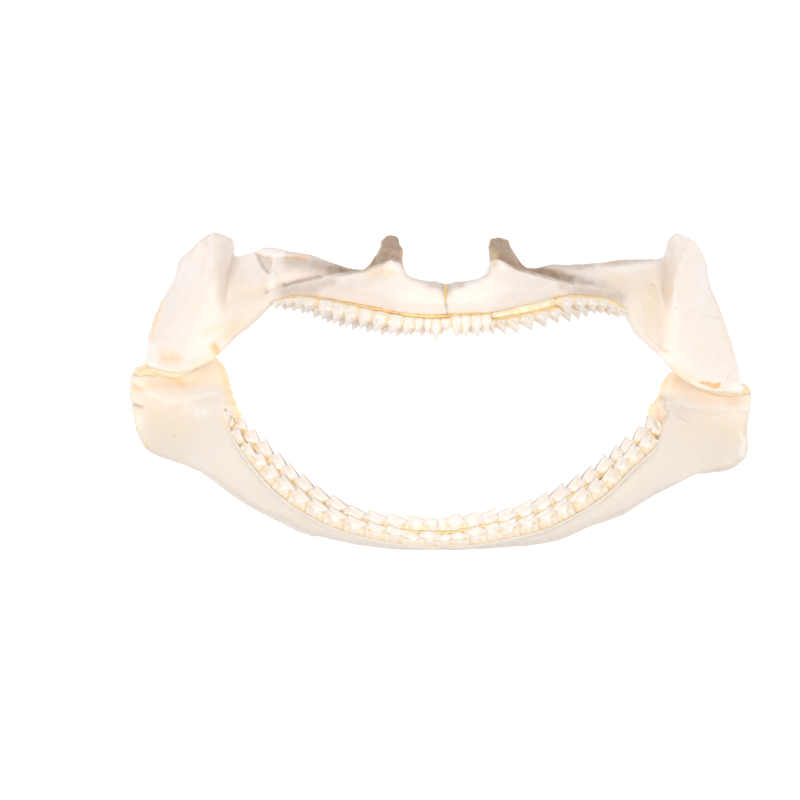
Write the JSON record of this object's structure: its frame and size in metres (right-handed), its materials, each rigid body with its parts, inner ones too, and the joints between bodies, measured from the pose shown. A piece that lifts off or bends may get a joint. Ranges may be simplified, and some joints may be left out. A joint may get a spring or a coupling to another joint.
{
  "type": "shark jaw",
  "caption": "Dried gulper shark jaw with a wide open mouth, paired upper and lower cartilage halves, and rows of leaning blade-like teeth, lying on its back.",
  "frame": {"origin": "centre of the bounding box's underside, on the surface the jaw lies on", "axes": "+X from the specimen's own right jaw joint to its left one, which is left to right for someone looking at its front; +Y towards the upper jaw and the dorsal edge; +Z out of the mouth, from the wings' backs to the front teeth"},
  "size_m": [0.1996, 0.099, 0.078],
  "materials": {
    "cartilage_upper": "dried, waxy, slightly translucent ivory cartilage",
    "cartilage_lower": "dried, waxy, slightly translucent beige cartilage",
    "tooth_enamel": "glossy translucent white enamel"
  },
  "bodies": {
    "root": {"palatoquadrate_left": "cartilage_upper", "palatoquadrate_right": "cartilage_upper", "meckel_cartilage_left": "cartilage_lower", "meckel_cartilage_right": "cartilage_lower", "upper_outer_teeth_left": "tooth_enamel", "upper_outer_teeth_chunk": "tooth_enamel", "upper_outer_teeth_right": "tooth_enamel", "upper_inner_teeth_left": "tooth_enamel", "upper_inner_teeth_right": "tooth_enamel", "lower_outer_teeth_left": "tooth_enamel", "lower_outer_teeth_right": "tooth_enamel", "lower_inner_teeth_left": "tooth_enamel", "lower_inner_teeth_right": "tooth_enamel"}
  },
  "joints": []
}
